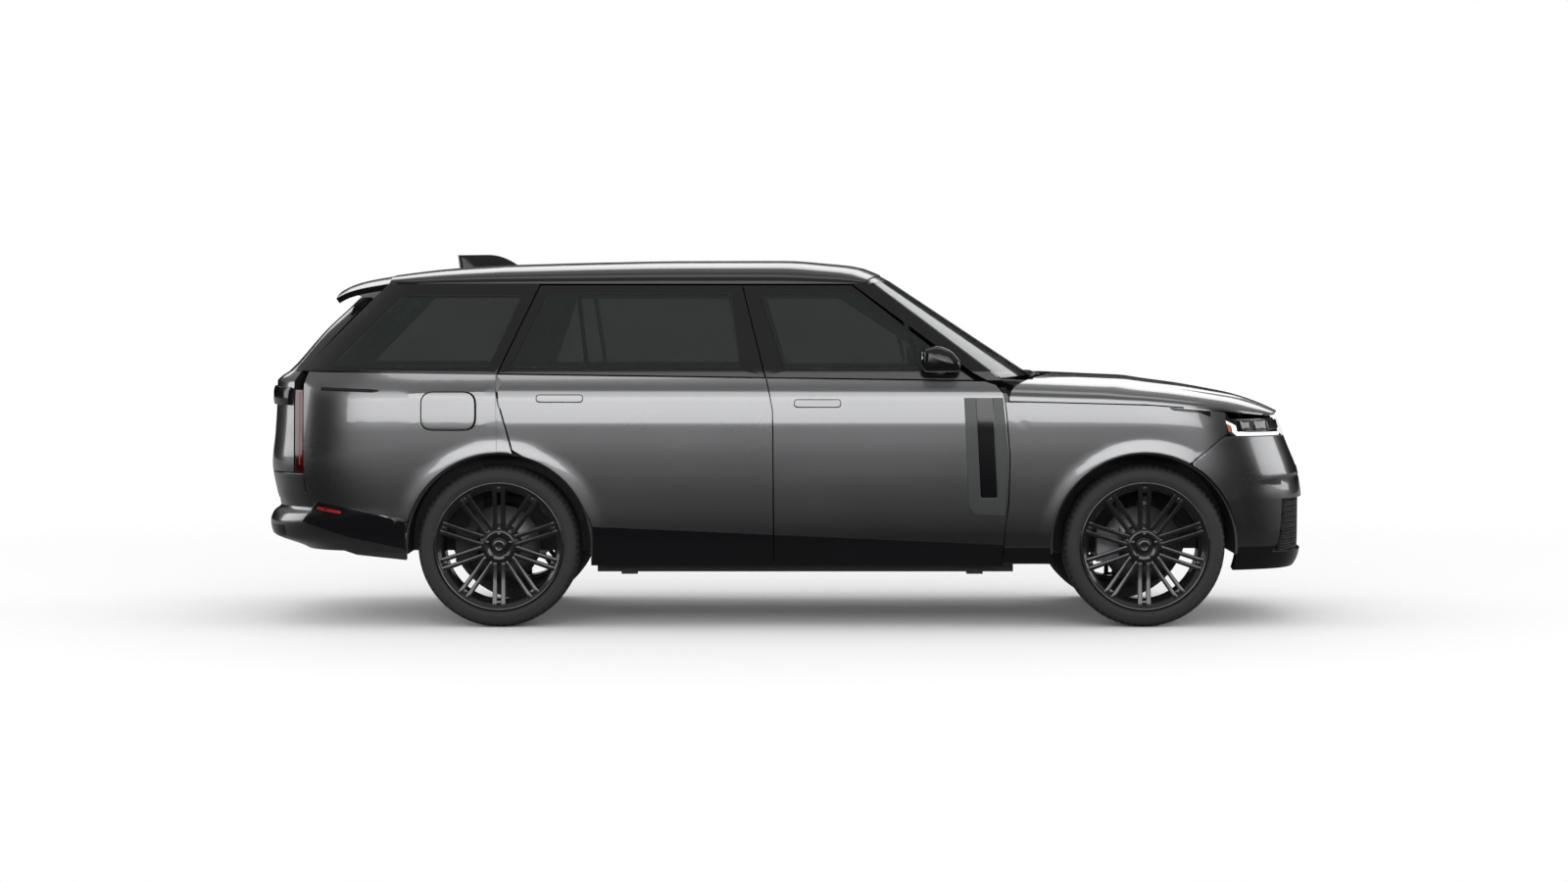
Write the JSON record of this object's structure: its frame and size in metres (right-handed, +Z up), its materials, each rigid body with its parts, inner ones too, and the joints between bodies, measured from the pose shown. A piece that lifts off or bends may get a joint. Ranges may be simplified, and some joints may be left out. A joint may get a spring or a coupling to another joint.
{
  "type": "sport utility vehicle",
  "caption": "Long-wheelbase sport utility vehicle with opening side doors, bonnet, split tailgate and fuel flap, steered front wheels and free-turning wheels.",
  "frame": {"origin": "on the ground below the middle of the vehicle", "axes": "+X forward, +Y to the left, +Z up"},
  "size_m": [5.252, 2.236, 1.8591],
  "materials": {
    "paint": "metallic gloss",
    "gloss_black": "gloss",
    "trim_black": "matte",
    "glass": "tinted",
    "tyre": "matte",
    "wheel": "gloss black",
    "steel": "satin",
    "aluminium": "satin",
    "leather": "matte",
    "lamp": "gloss",
    "lamp_red": "gloss"
  },
  "bodies": {
    "body": {"floor_pan": "trim_black", "body_side_left": "paint", "body_side_right": "paint", "roof_panel": "gloss_black", "roof_fin": "gloss_black", "fender_left": "paint", "fender_right": "paint", "front_bumper": "paint", "grille": "gloss_black", "headlamps": "lamp", "rear_bumper": "paint", "tail_lamps": "lamp_red", "windscreen": "glass", "quarter_glass": "glass", "cowl": "trim_black", "powertrain": "aluminium", "front_axle": "steel", "rear_axle": "steel", "arch_liners": "trim_black", "front_seats": "leather", "rear_bench": "leather", "dashboard": "trim_black", "steering_wheel": "leather"},
    "bonnet": {"bonnet": "paint"},
    "tailgate_upper": {"tailgate_upper": "paint", "tailgate_glass": "glass"},
    "tailgate_lower": {"tailgate_lower": "paint"},
    "fuel_flap": {"fuel_flap": "paint"},
    "knuckle_left": {"knuckle_left": "steel"},
    "knuckle_right": {"knuckle_right": "steel"},
    "door_front_left": {"door_front_left": "paint", "glass_front_left": "glass", "mirror_left": "gloss_black"},
    "door_rear_left": {"door_rear_left": "paint", "glass_rear_left": "glass"},
    "wheel_front_left": {"wheel_front_left": "wheel", "tyre_front_left": "tyre"},
    "wheel_rear_left": {"wheel_rear_left": "wheel", "tyre_rear_left": "tyre"},
    "door_front_right": {"door_front_right": "paint", "glass_front_right": "glass", "mirror_right": "gloss_black"},
    "door_rear_right": {"door_rear_right": "paint", "glass_rear_right": "glass"},
    "wheel_front_right": {"wheel_front_right": "wheel", "tyre_front_right": "tyre"},
    "wheel_rear_right": {"wheel_rear_right": "wheel", "tyre_rear_right": "tyre"}
  },
  "joints": [
    {"name": "steer_left", "type": "hinge", "parent": "body", "child": "knuckle_left", "pos_m": [1.772, 0.846, 0.4], "axis": [0, 0, 1], "range_deg": [-35, 35]},
    {"name": "wheel_front_left_spin", "type": "hinge", "parent": "knuckle_left", "child": "wheel_front_left", "pos_m": [1.772, 0.846, 0.4], "axis": [0, 1, 0], "continuous": true},
    {"name": "wheel_rear_left_spin", "type": "hinge", "parent": "body", "child": "wheel_rear_left", "pos_m": [-1.425, 0.846, 0.4], "axis": [0, 1, 0], "continuous": true},
    {"name": "door_front_left_hinge", "type": "hinge", "parent": "body", "child": "door_front_left", "pos_m": [1.05, 0.994, 0.8], "axis": [0, 0, -1], "range_deg": [0, 68]},
    {"name": "door_rear_left_hinge", "type": "hinge", "parent": "body", "child": "door_rear_left", "pos_m": [-0.11, 0.994, 0.8], "axis": [0, 0, -1], "range_deg": [0, 68]},
    {"name": "steer_right", "type": "hinge", "parent": "body", "child": "knuckle_right", "pos_m": [1.772, -0.846, 0.4], "axis": [0, 0, 1], "range_deg": [-35, 35]},
    {"name": "wheel_front_right_spin", "type": "hinge", "parent": "knuckle_right", "child": "wheel_front_right", "pos_m": [1.772, -0.846, 0.4], "axis": [0, 1, 0], "continuous": true},
    {"name": "wheel_rear_right_spin", "type": "hinge", "parent": "body", "child": "wheel_rear_right", "pos_m": [-1.425, -0.846, 0.4], "axis": [0, 1, 0], "continuous": true},
    {"name": "door_front_right_hinge", "type": "hinge", "parent": "body", "child": "door_front_right", "pos_m": [1.05, -0.994, 0.8], "axis": [0, 0, 1], "range_deg": [0, 68]},
    {"name": "door_rear_right_hinge", "type": "hinge", "parent": "body", "child": "door_rear_right", "pos_m": [-0.11, -0.994, 0.8], "axis": [0, 0, 1], "range_deg": [0, 68]},
    {"name": "bonnet_hinge", "type": "hinge", "parent": "body", "child": "bonnet", "pos_m": [1.085, 0, 1.14], "axis": [0, -1, 0], "range_deg": [0, 45]},
    {"name": "tailgate_upper_hinge", "type": "hinge", "parent": "body", "child": "tailgate_upper", "pos_m": [-2.04, 0, 1.739], "axis": [0, 1, 0], "range_deg": [0, 78]},
    {"name": "tailgate_lower_hinge", "type": "hinge", "parent": "body", "child": "tailgate_lower", "pos_m": [-2.606, 0, 0.634], "axis": [0, -1, 0], "range_deg": [0, 90]},
    {"name": "fuel_flap_hinge", "type": "hinge", "parent": "body", "child": "fuel_flap", "pos_m": [-1.54, -0.999, 1.07], "axis": [0, 0, 1], "range_deg": [0, 90]}
  ],
  "couplings": [
    {"joint": "steer_right", "follows": "steer_left", "ratio": 1}
  ]
}
